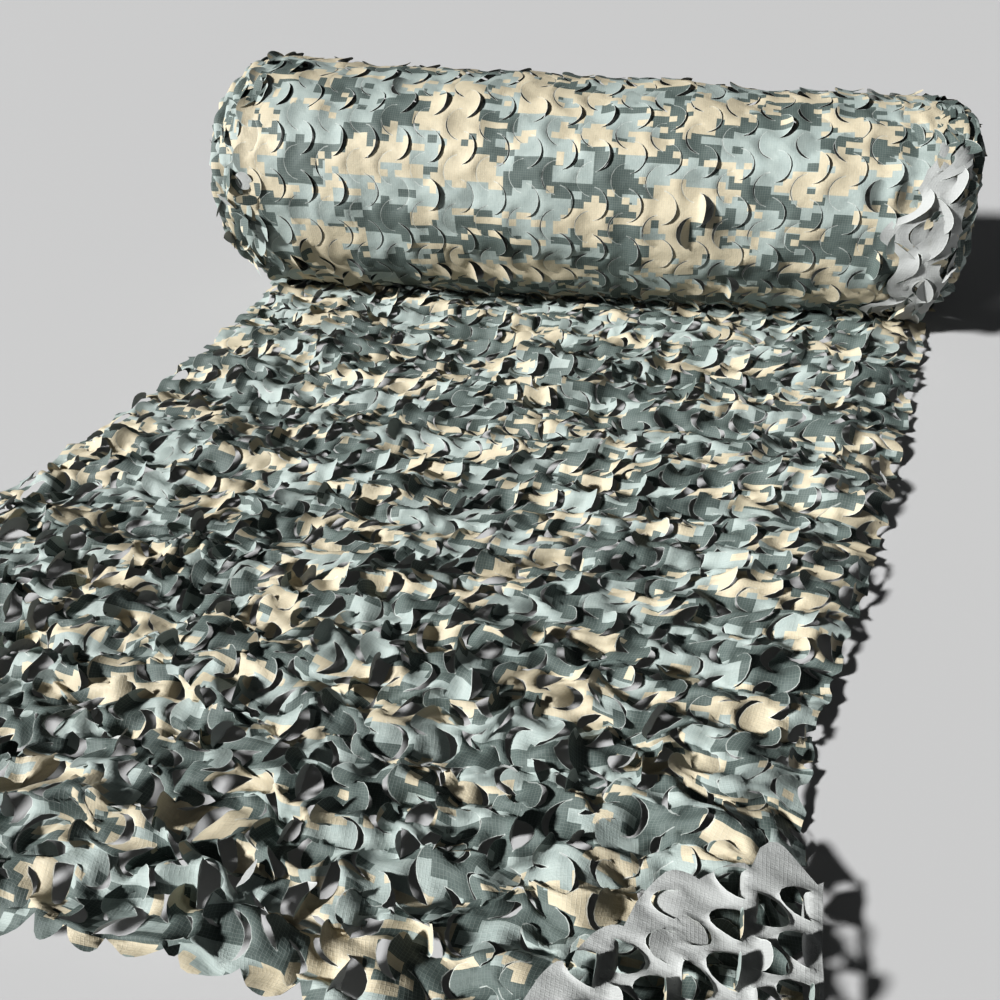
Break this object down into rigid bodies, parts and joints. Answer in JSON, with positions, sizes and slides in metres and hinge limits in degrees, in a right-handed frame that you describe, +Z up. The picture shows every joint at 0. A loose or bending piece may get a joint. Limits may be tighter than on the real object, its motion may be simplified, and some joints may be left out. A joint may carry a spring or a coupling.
{
  "type": "camouflage net on a roll with its loose end laid out",
  "caption": "Die-cut camouflage netting cloth wound in a long roll, its loose end laid forward on the floor with one corner turned back.",
  "frame": {"origin": "middle of the roll's flat spot, on the floor under its centre line", "axes": "+X along the roll, the loose end lies towards -Y, +Z up"},
  "size_m": [1.905, 1.9649, 0.4861],
  "materials": {
    "wound_cloth": "matt ripstop weave, printed in three colours of block camouflage",
    "laid_cloth": "matt ripstop weave, printed on its face and plain light grey on its reverse"
  },
  "bodies": {
    "root": {"roll": "wound_cloth", "loose_end": "laid_cloth"}
  },
  "joints": []
}
